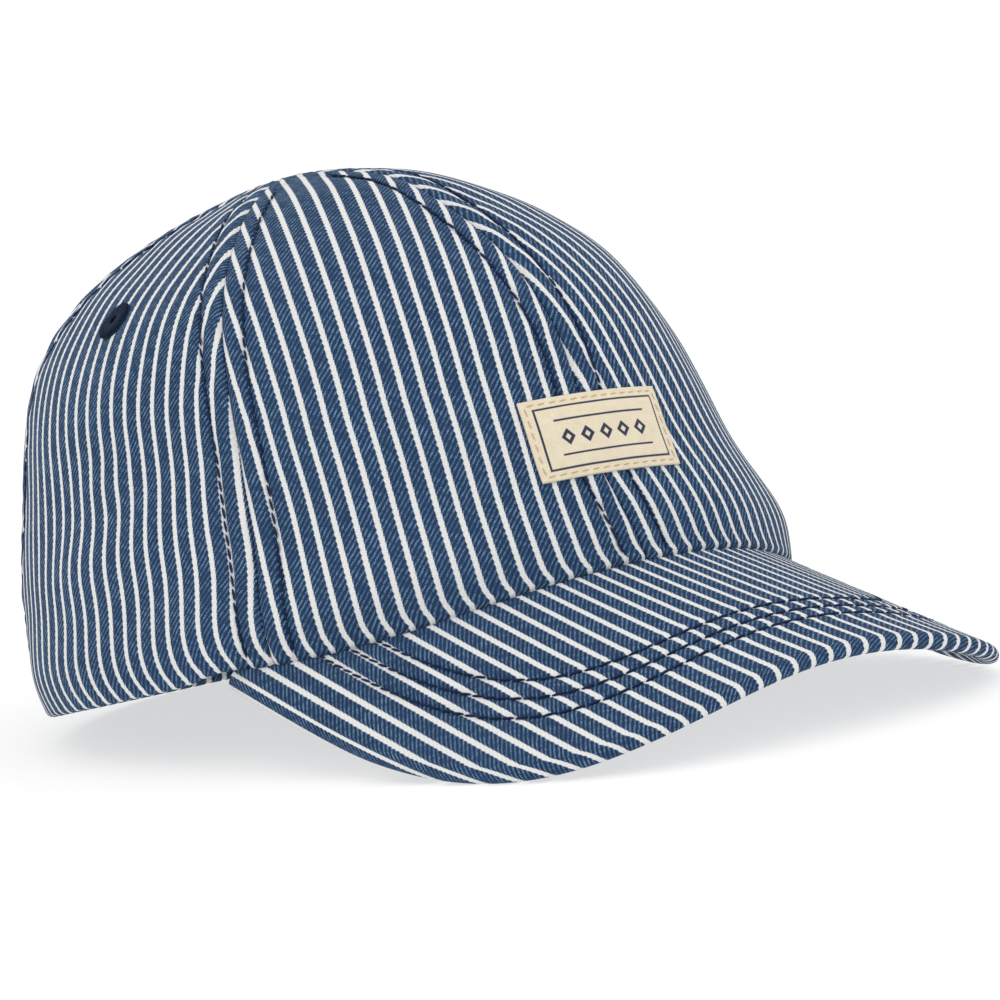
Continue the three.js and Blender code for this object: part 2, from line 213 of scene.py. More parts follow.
# %% A grid of cloth
def cloth_grid(name, place, flat, seam, turn_over=False):
    """place is (columns, rows, 3) in mm; flat and seam are (columns, rows, 2) in mm."""
    columns, rows = place.shape[:2]
    bm = bmesh.new()
    bmesh.ops.create_grid(bm, x_segments=columns - 1, y_segments=rows - 1, size=0.5)
    step_x, step_y = 1 / (columns - 1), 1 / (rows - 1)
    cloth = bm.loops.layers.uv.new("cloth")
    near = bm.loops.layers.uv.new("seam")
    where = {}
    for vertex in bm.verts:
        column, row = (vertex.co.x + 0.5) / step_x, (vertex.co.y + 0.5) / step_y
        where[vertex.index] = (round(column), round(row))
    for face in bm.faces:
        for loop in face.loops:
            column, row = where[loop.vert.index]
            loop[cloth].uv = flat[column, row] / UV_UNIT
            loop[near].uv = seam[column, row] / UV_UNIT
    metres = to_metres(place)
    for vertex in bm.verts:
        vertex.co = metres[where[vertex.index]]
    bmesh.ops.remove_doubles(bm, verts=bm.verts, dist=2e-6)
    if turn_over:
        bmesh.ops.reverse_faces(bm, faces=bm.faces)
    mesh = bpy.data.meshes.new(name)
    bm.to_mesh(mesh)
    bm.free()
    piece = bpy.data.objects.new(name, mesh)
    bpy.context.scene.collection.objects.link(piece)
    for polygon in mesh.polygons:
        polygon.use_smooth = True
    return piece


def thicken(piece, thickness, levels=1):
    if levels:
        smooth_it = piece.modifiers.new("Round", "SUBSURF")
        smooth_it.levels = smooth_it.render_levels = levels
        smooth_it.boundary_smooth = "PRESERVE_CORNERS"
    wall = piece.modifiers.new("Cloth", "SOLIDIFY")
    wall.thickness = thickness * MM
    wall.offset = -1
    wall.use_even_offset = False
    wall.material_offset = 1
    wall.material_offset_rim = 0
    return piece


def dress(piece, node, slot, *materials):
    for material in materials:
        piece.data.materials.append(material)
    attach(piece, "root")
    if node:
        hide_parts(node)
    print(piece.name, len(piece.data.polygons), "faces")
    return piece


# %% [markdown]
# ## Writing materials as sums
# A material is a small formula over the cloth. The class below wraps a node's output, so that a
# mask can be written as ordinary Python arithmetic, and each sum adds its Math node.

# %% A socket that can be added and multiplied
class Value:
    def __init__(self, tree, socket):
        self.tree, self.socket = tree, socket

    def node(self, kind, settings=(), inputs=(), output=0):
        made = self.tree.nodes.new(kind)
        for key, setting in dict(settings).items():
            if key == "stops":
                ramp = made.color_ramp
                while len(ramp.elements) < len(setting):
                    ramp.elements.new(0.5)
                for element, (position, colour) in zip(ramp.elements, setting):
                    element.position, element.color = position, colour
            else:
                setattr(made, key, setting)
        for key, value in dict(inputs).items():
            if isinstance(value, Value):
                self.tree.links.new(value.socket, made.inputs[key])
            else:
                made.inputs[key].default_value = value
        return Value(self.tree, made.outputs[output])

    def math(self, operation, *others):
        values = (self,) + others
        return self.node("ShaderNodeMath", {"operation": operation}, dict(enumerate(values)))

    def __add__(self, other): return self.math("ADD", other)
    def __sub__(self, other): return self.math("SUBTRACT", other)
    def __mul__(self, other): return self.math("MULTIPLY", other)
    def __truediv__(self, other): return self.math("DIVIDE", other)
    def __radd__(self, other): return self + other
    def __rmul__(self, other): return self * other
    def __rsub__(self, other): return self * -1.0 + other

    def fraction(self): return self.math("FRACT")
    def floor(self): return self.math("FLOOR")
    def size(self): return self.math("ABSOLUTE")
    def sine(self): return self.math("SINE")

    def step(self, start, end):
        return self.node("ShaderNodeMapRange", {"interpolation_type": "SMOOTHSTEP"},
                         {0: self, 1: start, 2: end, 3: 0.0, 4: 1.0})

    def mix(self, start, end):
        """A colour between two, by this value."""
        return self.node("ShaderNodeMix", {"data_type": "RGBA"}, {0: self, 6: start, 7: end}, 2)


def rgb(red, green, blue):
    """A colour as the eye reads it, 0 to 255, in Blender's linear light."""
    return tuple((c / 255 / 12.92 if c < 11 else ((c / 255 + 0.055) / 1.055) ** 2.4)
                 for c in (red, green, blue)) + (1.0,)


# %% [markdown]
# ## Starting a material, and feeding its shader
# Each material begins as Blender's own Principled shader with a few fixed settings. The formulas
# then start from one of two places: a map of the flat cloth, in millimetres, or the spot on the
# object itself. Fine relief such as the ribs of the twill goes through a Bump node.

# %% Helpers for materials
def new_finish(name, **constants):
    """A new material, and a Value that the formulas of its node tree start from."""
    material = bpy.data.materials.new(name)
    material.use_nodes = True
    tree = material.node_tree
    for key, value in constants.items():
        tree.nodes["Principled BSDF"].inputs[key.replace("_", " ")].default_value = value
    return material, Value(tree, None)


def flat_map(start, name):
    """The two coordinates of a UV map in mm, and the map itself."""
    uv = start.node("ShaderNodeUVMap", {"uv_map": name})
    first = start.node("ShaderNodeSeparateXYZ", {}, {0: uv})
    second = Value(start.tree, first.socket.node.outputs[1])
    return first * UV_UNIT, second * UV_UNIT, uv


def object_spot(start):
    return start.node("ShaderNodeTexCoord", output="Object")


def cloud(vector, scale, detail=2.0):
    return vector.node("ShaderNodeTexNoise", {}, {"Vector": vector, "Scale": scale, "Detail": detail})


def bump(height, strength, distance):
    inputs = {"Height": height, "Strength": strength, "Distance": distance}
    return height.node("ShaderNodeBump", {}, inputs)


def feed(start, **links):
    shader = start.tree.nodes["Principled BSDF"]
    for key, value in links.items():
        start.tree.links.new(value.socket, shader.inputs[key.replace("_", " ")])


# %% [markdown]
# ## Hickory-striped denim
# The cloth is a right-hand twill: fine diagonal ribs, with paler weft specks between them, and a
# white stripe woven in every four millimetres or so. The ribs step the edge of each stripe, which
# gives it small teeth. The stripes stand at whole multiples of the pitch on the cloth map. The dip
# of each seam and a strip along each row of stitching are painted darker, as painted shade, and a
# narrow strip just beside a seam is painted a little paler.

# %% Denim
TWILL, BEAD, TWILL_ANGLE = 0.98, 0.62, math.radians(43)


def denim(name, pale=0.0, seams=True):
    material, start = new_finish(name, Roughness=0.95, Sheen_Weight=0.03, Sheen_Roughness=0.5,
                                 Specular_IOR_Level=0.05)
    across, along, uv = flat_map(start, "cloth")
    from_row, spacing, _ = flat_map(start, "seam")
    spot = object_spot(start)
    drift = cloud(uv, 12.0) - 0.5
    rib = (across * math.cos(TWILL_ANGLE) - along * math.sin(TWILL_ANGLE) + drift * 0.6) / TWILL
    bead = (across * math.sin(TWILL_ANGLE) + along * math.cos(TWILL_ANGLE)) / BEAD
    rib_saw = rib.fraction()
    rib_crest = (rib_saw - 0.5).size() * 2.0
    bead_phase = bead + rib.floor() * 0.5
    bead_crest = (bead_phase.fraction() - 0.5).size() * 2.0
    cell = start.node("ShaderNodeCombineXYZ", {}, {0: rib.floor(), 1: bead_phase.floor()})
    chance = start.node("ShaderNodeTexWhiteNoise", {"noise_dimensions": "2D"}, {"Vector": cell})
    stripe = across / STRIPE
    apart = ((stripe + 0.5).fraction() - 0.5).size() * STRIPE
    wander = cloud(uv, 60.0, 3.0) - 0.5
    edge = apart + (rib_saw - 0.5) * 0.20 + (bead_crest - 0.5) * 0.10 + wander * 0.20
    white = edge.step(0.68, 0.48)
    beaded = bead_crest.step(0.0, 0.7) * 0.8 + 0.2
    speck = rib_crest.step(0.40, 0.85) * beaded * (chance * chance * 0.85 + 0.15)
    broad = cloud(spot, 38.0, 3.0) - 0.5
    streak = start.node("ShaderNodeTexNoise", {"noise_dimensions": "1D"},
                        {"W": across * 3.1, "Scale": 1.0, "Detail": 1.0}) - 0.5
    row = from_row.size().math("MINIMUM", (from_row.size() - spacing).size())
    # Painted shade: the dye's random tone is painted darker within about a millimetre of each row of
    # stitching, on the crown and the peak.
    stitch_row_shade = row.step(1.1, 0.15)
    tone_and_shade = broad * 0.5 + streak * 0.45 + 0.5 - stitch_row_shade * 0.35
    # On the crown, painted shade darkens the dip of each seam, and a narrow strip just beside it is
    # painted a little paler.
    if seams:
        gap = from_row + TOPSTITCH
        tone_and_shade = tone_and_shade + gap.step(1.6, 0.5) * gap.step(0.0, 0.4) * 0.25 - gap.step(0.7, 0.0) * 0.6
    dark = tone_and_shade.mix(rgb(21 + 50 * pale, 41 + 45 * pale, 71 + 40 * pale),
                    rgb(44 + 50 * pale, 70 + 45 * pale, 102 + 40 * pale))
    blue = speck.mix(dark, rgb(130 + 25 * pale, 162 + 20 * pale, 193 + 15 * pale))
    # The white stripes vary with the weave and at random, and also take painted shade along the stitch
    # rows.
    shade = bead_crest * 0.35 + rib_crest * 0.25 + broad * 0.2 + stitch_row_shade * 0.3
    cream = shade.mix(rgb(233, 232, 229), rgb(200, 202, 204))
    relief = rib_crest * 0.6 + bead_crest * 0.25 + white * 0.25
    fibre = cloud(spot, 2600.0)
    feed(start, Base_Color=white.mix(blue, cream), Roughness=speck * -0.06 + 0.9,
         Normal=bump(relief + fibre * 0.25, 0.4, 0.00022))
    return material


TOPSTITCH = 5.4
denim_face = denim("denim_face")
denim_back = denim("denim_back", pale=1.0)
peak_face = denim("peak_denim", seams=False)

# %% [markdown]
# ## The six crown panels
# Each panel is one sheet. Its path starts inside, where the cloth is turned up, goes round the
# folded hem and climbs to the apex. The columns crowd together near the seams, because the double
# rows of stitching draw the cloth into fine grooves there. The sheet gets its thickness from a
# Solidify modifier, whose inner face takes the cloth's paler back.

# %% Grooves and puckers along the seams
HEM_ROUND, CLOTH, LOWEST = 1.5, 1.0, 0.02
NEAR_SEAM = np.array([0, 0.35, 0.8, 1.4, 2.2, 3.2, 4.1, 4.8, 5.15, 5.4, 5.65, 6.0, 6.7, 7.7, 9.0,
                      10.6])


def columns_across(width, middle=15):
    """Distances from the left seam for a row of this width."""
    half = width / 2
    scale = min(1.0, half / 13.0)
    side = NEAR_SEAM * scale
    inside = np.linspace(side[-1], width - side[-1], middle + 2)[1:-1]
    return np.concatenate([side, inside, width - side[::-1]])


def pucker(seed, run, pitch):
    """Uneven small waves along a seam, between -1 and 1."""
    wave = np.sin(run * 2 * np.pi / pitch + 3 * np.sin(run / 11 + seed) + seed)
    return wave * (0.6 + 0.4 * np.sin(run / 7.3 + 2 * seed))


def groove(gap, run, seed):
    """Depth of the cloth at a distance from a seam and a run along it, in mm."""
    swell = 0.22 * np.sin(np.pi * np.clip(gap / TOPSTITCH, 0, 1))
    seam = -0.75 * np.exp(-(gap / 0.75) ** 2)
    stitched = -0.42 * np.exp(-((gap - TOPSTITCH) / 0.55) ** 2)
    waves = 0.20 * pucker(seed, run, 7.5) * np.exp(-((gap - 4.6) / 4.2) ** 2)
    waves += 0.10 * pucker(seed + 1.7, run, 3.6) * np.exp(-((gap - 5.4) / 1.6) ** 2)
    return swell + seam + stitched + waves


# %% [markdown]
# ### Laying out a panel
# The width of each row is measured on the crown itself, so that the stripes keep their pitch and run
# parallel to the panel's middle, and the seams cut across them as the gores narrow.

# %% A panel's sheet
def seam_drift(azimuth, climb):
    """How far the front seam strays to the wearer's right, in radians."""
    low = 0.038 * np.exp(-((climb - 0.17) / 0.13) ** 2)
    high = -0.035 * np.exp(-((climb - 0.78) / 0.12) ** 2)
    return (low + high) * np.exp(-(azimuth / 0.30) ** 2)


def panel(name, start, end, drape, seed, hem_hook=1.2, grain=None):
    first, last = math.radians(start), math.radians(end)
    length = float(meridian_length((first + last) / 2))
    runs = np.concatenate([[0, 0.5, 1.1, 1.9, 3.0, 4.3, 5.8], np.arange(7.4, length - 9, 1.55),
                           np.linspace(length - 8.4, length, 8)])
    count = len(columns_across(80.0))
    azimuths = np.linspace(first, last, 65)
    place, flat, seam = [], [], []

    def row(climb, offset, run):
        turned = azimuths + seam_drift(azimuths, climb)
        arc = crown_skin(azimuths, climb)
        along = np.concatenate([[0], np.cumsum(np.linalg.norm(np.diff(arc, axis=0), axis=1))])
        width = max(along[-1], 1e-3)
        gaps = columns_across(width)
        azimuth = np.interp(gaps, along, turned)
        gap = np.minimum(gaps, width - gaps)
        fade = float(np.clip(width / 22, 0, 1))
        dip = groove(gap, run, seed + 3.1 * (gaps < width / 2)) * fade
        sag = [0.5 * noise.noise(Vector((g / 16 + 9 * seed, run / 19, 0))) for g in gaps]
        edge = np.clip(gap / 9, 0, 1) * np.clip((length - run) / 25, 0, 1) * np.clip(run / 8, 0, 1)
        point = crown_point(azimuth, climb, offset + dip + np.array(sag) * edge)
        point[:, 2] = np.maximum(point[:, 2], LOWEST)
        place.append(point)
        strayed = np.interp(gaps, along, turned - azimuths) * width / max(last - first, 1e-3)
        middle = width / 2 if grain is None else np.interp(math.radians(grain), azimuths, along)
        lateral = middle - gaps - strayed
        hook = hem_hook * np.clip(1 - run / 4, 0, 1) ** 2
        across = lateral - STRIPE * drape(lateral, max(run, 0)) - hook
        flat.append(np.stack([across, np.full(count, run)], -1))
        seam.append(np.stack([gap - TOPSTITCH, np.full(count, 99.0)], -1))

    for height in (14.0, 9.0, 4.0):
        row(height / length, -HEM_ROUND * 2, -HEM_ROUND * 3 - height)
    for angle in (150, 120, 90, 60, 30):
        turn = math.radians(angle)
        row(HEM_ROUND * (1 - math.sin(turn)) / length, -HEM_ROUND * (1 - math.cos(turn)),
            -HEM_ROUND * turn)
    for run in runs:
        row((run + HEM_ROUND) / (length + HEM_ROUND), 0.0, run)
    sheet = cloth_grid(name, np.stack(place, 1), np.stack(flat, 1), np.stack(seam, 1), turn_over=True)
    thicken(sheet, CLOTH)
    return dress(sheet, name, "striped_denim", denim_face, denim_back)


# %% [markdown]
# ### Where the stripes fall
# A stripe lies wherever the cloth map is a whole number of pitches. Each panel is cut with the
# stripes a little aslant to its own middle, and the cloth gives more near the front seam, so a short
# function says how many pitches the pattern strays at each place.

# %% Cut the panels
def ramp(x, start):
    """Zero before the start, then rising evenly."""
    return np.maximum(0, x - start)


def front_drape(lateral, run):
    settled = (0.35 + 0.65 * smooth(run, 0, 22)) * (1 - 0.35 * smooth(run, 60, 95))
    return 0.20 + 0.0124 * ramp(run, 47) - 0.0115 * ramp(lateral, -11) * settled


def far_front_drape(lateral, run):
    near_side = 0.02 * np.clip(lateral + 34, 0, 20) * smooth(run, 15, 40)
    return 0.45 - 0.38 * smooth(run, 10, 38) + 0.0124 * ramp(run, 47) - near_side


def side_drape(lateral, run):
    ripple = 0.5 * np.exp(-((run - 46) / 6) ** 2) * np.exp(-((lateral + 6) / 12) ** 2)
    return 0.9 - 1.4 * smooth(run, 8, 50) - 0.025 * ramp(-lateral, -6) - ripple


panel("crown_front_right", 0, SIDE_SEAM, front_drape, 0.3)
panel("crown_front_left", -SIDE_SEAM, 0, far_front_drape, 1.1)
panel("crown_side_right", SIDE_SEAM, BACK_SEAM, side_drape, 2.3, 1.2, 85.4)
panel("crown_side_left", -BACK_SEAM, -SIDE_SEAM, lambda lateral, run: 0.4, 3.6, 1.2)
panel("crown_back_right", BACK_SEAM, 180, lambda lateral, run: 0.2, 4.4, 1.2)
panel("crown_back_left", -180, -BACK_SEAM, lambda lateral, run: 0.7, 5.2, 1.2)

# %% [markdown]
# ## The peak
# The peak is a stiff sheet covered on both faces. The upper cover goes round the edge and ends a
# little way in underneath, where it meets the under cover. Both covers are grids laid over the
# peak's own surface. The stripes run from back to front.

# %% The peak as a function
def peak_point(x, reach, depth):
    x, reach, depth = np.broadcast_arrays(np.asarray(x, float), reach, depth)
    y = -reach * math.cos(PEAK_SLOPE)
    step = 0.5
    slope_x = (peak_height(x + step, y) - peak_height(x - step, y)) / (2 * step)
    slope_y = (peak_height(x, y + step) - peak_height(x, y - step)) / (2 * step)
    normal = unit(np.stack([-slope_x, -slope_y, np.ones_like(x)], -1))
    return np.stack([x, y, peak_height(x, y)], -1) - normal * depth[..., None]


def peak_edge(across, inset):
    full = np.maximum(0, 1 - np.abs(across) ** PEAK_SIDE_FULL) ** (1 / PEAK_FRONT_FULL)
    return (PEAK_WIDTH - inset) * across, PEAK_REAR + (PEAK_FRONT - inset) * full


TUCK = 4.0
hem_azimuth = np.radians(np.linspace(-80, 80, 321))
hem_line = crown_point(hem_azimuth, 0.0, -TUCK * np.ones(321))


def peak_inner(across):
    x = (PEAK_WIDTH - TUCK) * across
    reach = np.interp(x, hem_line[::-1, 0], -hem_line[::-1, 1]) / math.cos(PEAK_SLOPE)
    return x, np.maximum(reach, PEAK_REAR)


girth_x = np.linspace(-PEAK_WIDTH, PEAK_WIDTH, 801)
girth_z = -PEAK_DROP * (np.abs(girth_x) / PEAK_WIDTH) ** PEAK_POWER
girth = np.concatenate([[0], np.cumsum(np.hypot(np.diff(girth_x), np.diff(girth_z)))])
girth -= girth[400]


def peak_flat(x, reach):
    """The cloth map of the peak: its stripes fan a little towards the far side."""
    across = np.interp(x, girth_x, girth)
    lean = -0.005 + 0.0005 * np.maximum(0, across + 31) + 0.00015 * np.maximum(0, -50 - across)
    turn = 0.0078 * np.clip(across + 22, 0, 40) + 0.004 * np.maximum(0, -50 - across)
    stray = 0.09 - turn + lean * (reach - 115)
    return np.stack([across - STRIPE * stray, -reach], -1)


# %% [markdown]
# ### Rows of stitching on the peak
# Three rows follow the edge of the peak, and stand further in at the front than at the sides. They
# are drawn into the cloth, so each gets a fine groove and a pucker.

# %% Stitch rows of the peak
PEAK_ROWS = [(19.5, 126.6), (15.8, 131.8), (12.0, 136.8)]     # inset at the side, reach at the front
across_fine = np.sin(np.linspace(-np.pi / 2, np.pi / 2, 361))


def stitch_line(inset, front):
    full = np.maximum(0, 1 - np.abs(across_fine) ** 3.6) ** (1 / 3.8)
    return np.stack([(PEAK_WIDTH - inset) * across_fine, PEAK_REAR + (front - PEAK_REAR) * full], -1)


row_lines = [stitch_line(inset, front) for inset, front in PEAK_ROWS]


def row_distance(line, x, reach):
    """Distance from a stitch row, positive outside it."""
    gap = np.full(x.shape, 999.0)
    for at_x, at_reach in line:
        gap = np.minimum(gap, np.hypot(x - at_x, reach - at_reach))
    half, front = line[-1, 0], line[180, 1]
    share = (np.abs(x) / half) ** 3.6 + (np.maximum(0, reach - PEAK_REAR) / (front - PEAK_REAR)) ** 3.8
    return np.where(share > 1, gap, -gap)


# %% [markdown]
# ### Covering the peak
# The upper cover starts under the crown, runs out to the edge, goes round it in a half circle and
# ends underneath. The under cover lies inside that turned edge. Each row of the sheet is given as a
# share of the way out, so that the columns fan from the crown's curve to the peak's outline.

# %% The peak's covers
PEAK_COLUMNS = np.sin(np.linspace(-np.pi / 2, np.pi / 2, 241))
ROUND = PEAK_THICK / 2


def peak_cover(name, rows, turn_over, thickness, stitched):
    """rows holds share of the way out, inset from the edge, depth, and run of cloth past the edge."""
    share, inset, depth, past = np.array(rows).T[:, None, :]
    inner_x, inner_reach = (value[:, None] for value in peak_inner(PEAK_COLUMNS))
    edge_x, edge_reach = peak_edge(PEAK_COLUMNS[:, None], inset)
    x = inner_x + (edge_x - inner_x) * share
    reach = inner_reach + (edge_reach - inner_reach) * share
    first, middle, last = (row_distance(line, x, reach) for line in row_lines)
    spacing = np.where(middle > 0, middle - last, first - middle)
    near = np.minimum(np.abs(middle), np.abs(np.abs(middle) - spacing))
    if stitched:
        run = np.arctan2(reach - 60, x) * 75
        flat_part = np.where(share < 0.985, 1.0, 0.0)
        dip = -0.34 * np.exp(-(near / 0.7) ** 2) + 0.12 * np.exp(-((near - 1.9) / 1.0) ** 2)
        dip += 0.10 * pucker(1.3, run, 4.6) * np.exp(-(near / 2.0) ** 2)
        depth = depth - dip * flat_part
    place = peak_point(x, reach, depth)
    flat = peak_flat(x, reach)
    outline = flat[:, share[0] >= 1][:, 0]
    way = np.gradient(outline, axis=0)
    out = unit(np.stack([way[:, 1], -way[:, 0]], -1))
    flat = flat + out[:, None] * past[..., None] * (-1 if out[120, 1] > 0 else 1)
    cover = cloth_grid(name, place, flat, np.stack([middle, spacing], -1), turn_over)
    thicken(cover, thickness, 0)
    return dress(cover, name, "striped_denim", peak_face, denim_back)


top_rows = [(share, ROUND, 0.0, 0.0) for share in np.linspace(0, 1, 140)]
for angle in np.linspace(12, 180, 15):
    turn = math.radians(angle)
    top_rows.append((1.0, ROUND * (1 - math.sin(turn)), ROUND * (1 - math.cos(turn)), ROUND * turn))
for past in (0.9, 1.6):
    top_rows.append((1.0, ROUND + past, PEAK_THICK - past * 0.15, ROUND * math.pi + past))
peak_cover("peak_top_cover", top_rows, True, 0.9, True)
INSET = ROUND + 1.7
under_rows = [(share, INSET, PEAK_THICK - 0.05, 0.0) for share in np.linspace(0, 0.99, 90)]
under_rows += [(0.995, INSET, PEAK_THICK - 0.15, 0.0), (1.0, INSET, PEAK_THICK - 0.4, 0.0)]
peak_cover("peak_under_cover", under_rows, False, 0.9, False)

# %% [markdown]
# ## Thread
# Sewing thread is a twisted cord with a soft shine. One stitch is a small bead of few faces, long
# and thin, pressed into the cloth at both ends; there are hundreds, so each has only a few faces.

# %% Thread finish and stitches
def thread(name, dark, light):
    material, start = new_finish(name, Roughness=0.75, Specular_IOR_Level=0.12)
    spot = object_spot(start)
    twist = cloud(spot, 2400.0, 1.0)
    shade = cloud(spot, 90.0, 1.0)
    feed(start, Base_Color=(twist * 0.6 + shade * 0.5 - 0.05).mix(dark, light),
         Normal=bump(twist, 0.4, 0.0001))
    return material


navy_thread = thread("navy_thread", rgb(12, 24, 50), rgb(34, 54, 92))
eyelet_thread = thread("eyelet_thread", rgb(10, 20, 38), rgb(27, 45, 75))
tan_thread = thread("tan_thread", rgb(190, 163, 122), rgb(220, 197, 161))


def stitch_row(bm, points, normals, stitch=2.6, gap=0.4, thick=0.6, lift=0.05, slant=0.12):
    """Stitches along a line of points, in mm."""
    run = np.concatenate([[0], np.cumsum(np.linalg.norm(np.diff(points, axis=0), axis=1))])
    count = int(run[-1] // (stitch + gap))
    if count < 1:
        return
    pitch = run[-1] / count
    for i in range(count):
        ends = [np.array([np.interp(at, run, points[:, k]) for k in range(3)])
                for at in (i * pitch + gap / 2, (i + 1) * pitch - gap / 2)]
        normal = np.array([np.interp((i + 0.5) * pitch, run, normals[:, k]) for k in range(3)])
        middle = (ends[0] + ends[1]) / 2 + unit(normal) * lift
        along = unit(ends[1] - ends[0])
        along = unit(along + slant * unit(np.cross(normal, along)))
        side = unit(np.cross(normal, along))
        half = np.linalg.norm(ends[1] - ends[0]) / 2
        place = Matrix.Translation(Vector(to_metres(middle)))
        turn = Matrix((along, side, np.cross(along, side))).transposed().to_4x4()
        size = Matrix.Diagonal((half * 1.08 * MM, thick / 2 * MM, thick / 2 * MM, 1))
        bmesh.ops.create_uvsphere(bm, u_segments=6, v_segments=5, radius=1,
                                  matrix=place @ turn @ size @ Matrix.Rotation(math.pi / 2, 4, "Y"))


def finish_stitches(name, bm, material, slot="navy_thread", node=None):
    mesh = bpy.data.meshes.new(name)
    bm.to_mesh(mesh)
    bm.free()
    for polygon in mesh.polygons:
        polygon.use_smooth = True
    piece = bpy.data.objects.new(name, mesh)
    bpy.context.scene.collection.objects.link(piece)
    return dress(piece, node, slot, material)


# %% [markdown]
# ### Double rows along the crown's seams
# Each seam is pressed open and stitched down on both sides. The rows close in on each other towards
# the apex, where the gores come to a point.

# %% Seam stitching
bm = bmesh.new()
for seam_angle in (0, SIDE_SEAM, BACK_SEAM, 180, -BACK_SEAM, -SIDE_SEAM):
    azimuth = math.radians(seam_angle)
    climb = np.linspace(0.018, 0.965, 150)
    for side in (-1, 1):
        beside = crown_skin(azimuth + side * 0.02, climb) - crown_skin(azimuth, climb)
        radius = np.linalg.norm(beside, axis=-1) / 0.02
        gap = TOPSTITCH * np.clip(radius / 27, 0.12, 1)
        turn = azimuth + side * gap / np.maximum(radius, 1)
        turn = turn + seam_drift(turn, climb)
        line = crown_point(turn, climb, np.full(150, -0.12))
        stitch_row(bm, line, crown_normal(turn, climb))
finish_stitches("crown_stitching", bm, navy_thread)

bm = bmesh.new()
for line in row_lines:
    inner_x, inner_reach = peak_inner(line[:, 0] / (PEAK_WIDTH - TUCK))
    line = line[line[:, 1] > inner_reach + TUCK - 1.5]
    points = peak_point(line[:, 0], line[:, 1], np.full(len(line), 0.12))
    raised = peak_point(line[:, 0], line[:, 1], np.full(len(line), -0.88))
    stitch_row(bm, points, raised - points)
finish_stitches("peak_stitching", bm, navy_thread)

# %% [markdown]
# ## Eyelets
# A ventilation hole is a punched hole whose edge is sewn over with a ring of close radial stitches.
# The ring is a flattened circle turned once round the hole, which gives a low doughnut, and the
# stitches are long beads laid over it as spokes.

# %% Eyelets
EYELET_OUT, EYELET_IN, EYELET_RISE = 4.6, 1.0, 0.7
EYELET_AZIMUTH, EYELET_CLIMB, SPOKES = 91, 0.60, 46


def eyelet(name, azimuth_degrees):
    """Builds one ring and gives back the matrix that lays it on the crown."""
    azimuth = np.array(math.radians(azimuth_degrees))
    centre = crown_point(azimuth, np.array(EYELET_CLIMB), np.array(0.0))
    normal = crown_normal(azimuth, np.array(EYELET_CLIMB))
    turn = Vector(normal).to_track_quat("Z", "Y").to_matrix().to_4x4()
    place = Matrix.Translation(Vector(to_metres(centre))) @ turn @ Matrix.Diagonal((MM, MM, MM, 1))
    bm = bmesh.new()
    across, middle = (EYELET_OUT - EYELET_IN) / 2, (EYELET_OUT + EYELET_IN) / 2
    section = (Matrix.Translation((middle, 0, 0.0)) @ Matrix.Rotation(math.pi / 2, 4, "X")
               @ Matrix.Diagonal((across, EYELET_RISE, 1, 1)))
    bmesh.ops.create_circle(bm, cap_ends=False, segments=12, radius=1, matrix=section)
    bmesh.ops.spin(bm, geom=bm.verts[:] + bm.edges[:], axis=(0, 0, 1), cent=(0, 0, 0),
                   dvec=(0, 0, 0), angle=2 * math.pi, steps=40, use_merge=True)
    bmesh.ops.remove_doubles(bm, verts=bm.verts, dist=1e-4)
    for i in range(SPOKES):
        angle = 2 * math.pi * i / SPOKES
        reach = EYELET_OUT + 0.12 * math.sin(5 * i) - 0.1
        middle = Matrix.Translation(((reach + EYELET_IN) / 2, 0, 0.55))
        inner = Matrix.Rotation(angle, 4, "Z") @ middle
        size = Matrix.Diagonal(((reach - EYELET_IN) / 2 + 0.1, 0.24, 0.42, 1))
        bmesh.ops.create_uvsphere(bm, u_segments=6, v_segments=6, radius=1,
                                  matrix=inner @ size @ Matrix.Rotation(math.pi / 2, 4, "Y"))
    bmesh.ops.recalc_face_normals(bm, faces=bm.faces)
    bmesh.ops.transform(bm, matrix=place, verts=bm.verts)
    finish_stitches(name, bm, eyelet_thread, node=name)
    return place


# %% [markdown]
# ### The holes of the eyelets
# Seen from outside, the punched hole is only a dark spot, because the inside of the cap lies in
# shade behind it. A small dark disc at the bottom of the ring gives that spot.

# %% Both eyelets, each with its dark hole
hole_shade, start = new_finish("hole_shade", Roughness=0.95)
hole_cloud = cloud(object_spot(start), 900.0, 1.0)
feed(start, Base_Color=hole_cloud.mix(rgb(6, 8, 13), rgb(14, 18, 28)))
HOLE_RADIUS = EYELET_IN + 0.2
for side, turned in (("right", EYELET_AZIMUTH), ("left", -EYELET_AZIMUTH)):
    place = eyelet("eyelet_" + side, turned)
    bm = bmesh.new()
    bmesh.ops.create_cone(bm, cap_ends=True, segments=24, radius1=HOLE_RADIUS, radius2=HOLE_RADIUS,
                          depth=0.5, matrix=Matrix.Translation((0, 0, -0.05)))
    bmesh.ops.transform(bm, matrix=place, verts=bm.verts)
    finish_stitches("eyelet_hole_" + side, bm, hole_shade)

# %% [markdown]
# ## The label
# The label is woven in cream cotton with a fine rib, and sewn down over the front seam by a row of
# tan stitches. It has a thin navy frame and a plain row of lozenges between two rules.

# %% The label's cloth
LABEL_WIDTH, LABEL_HEIGHT, LABEL_CLIMB, LABEL_TURN = 34.3, 18.4, 0.198, math.radians(3)


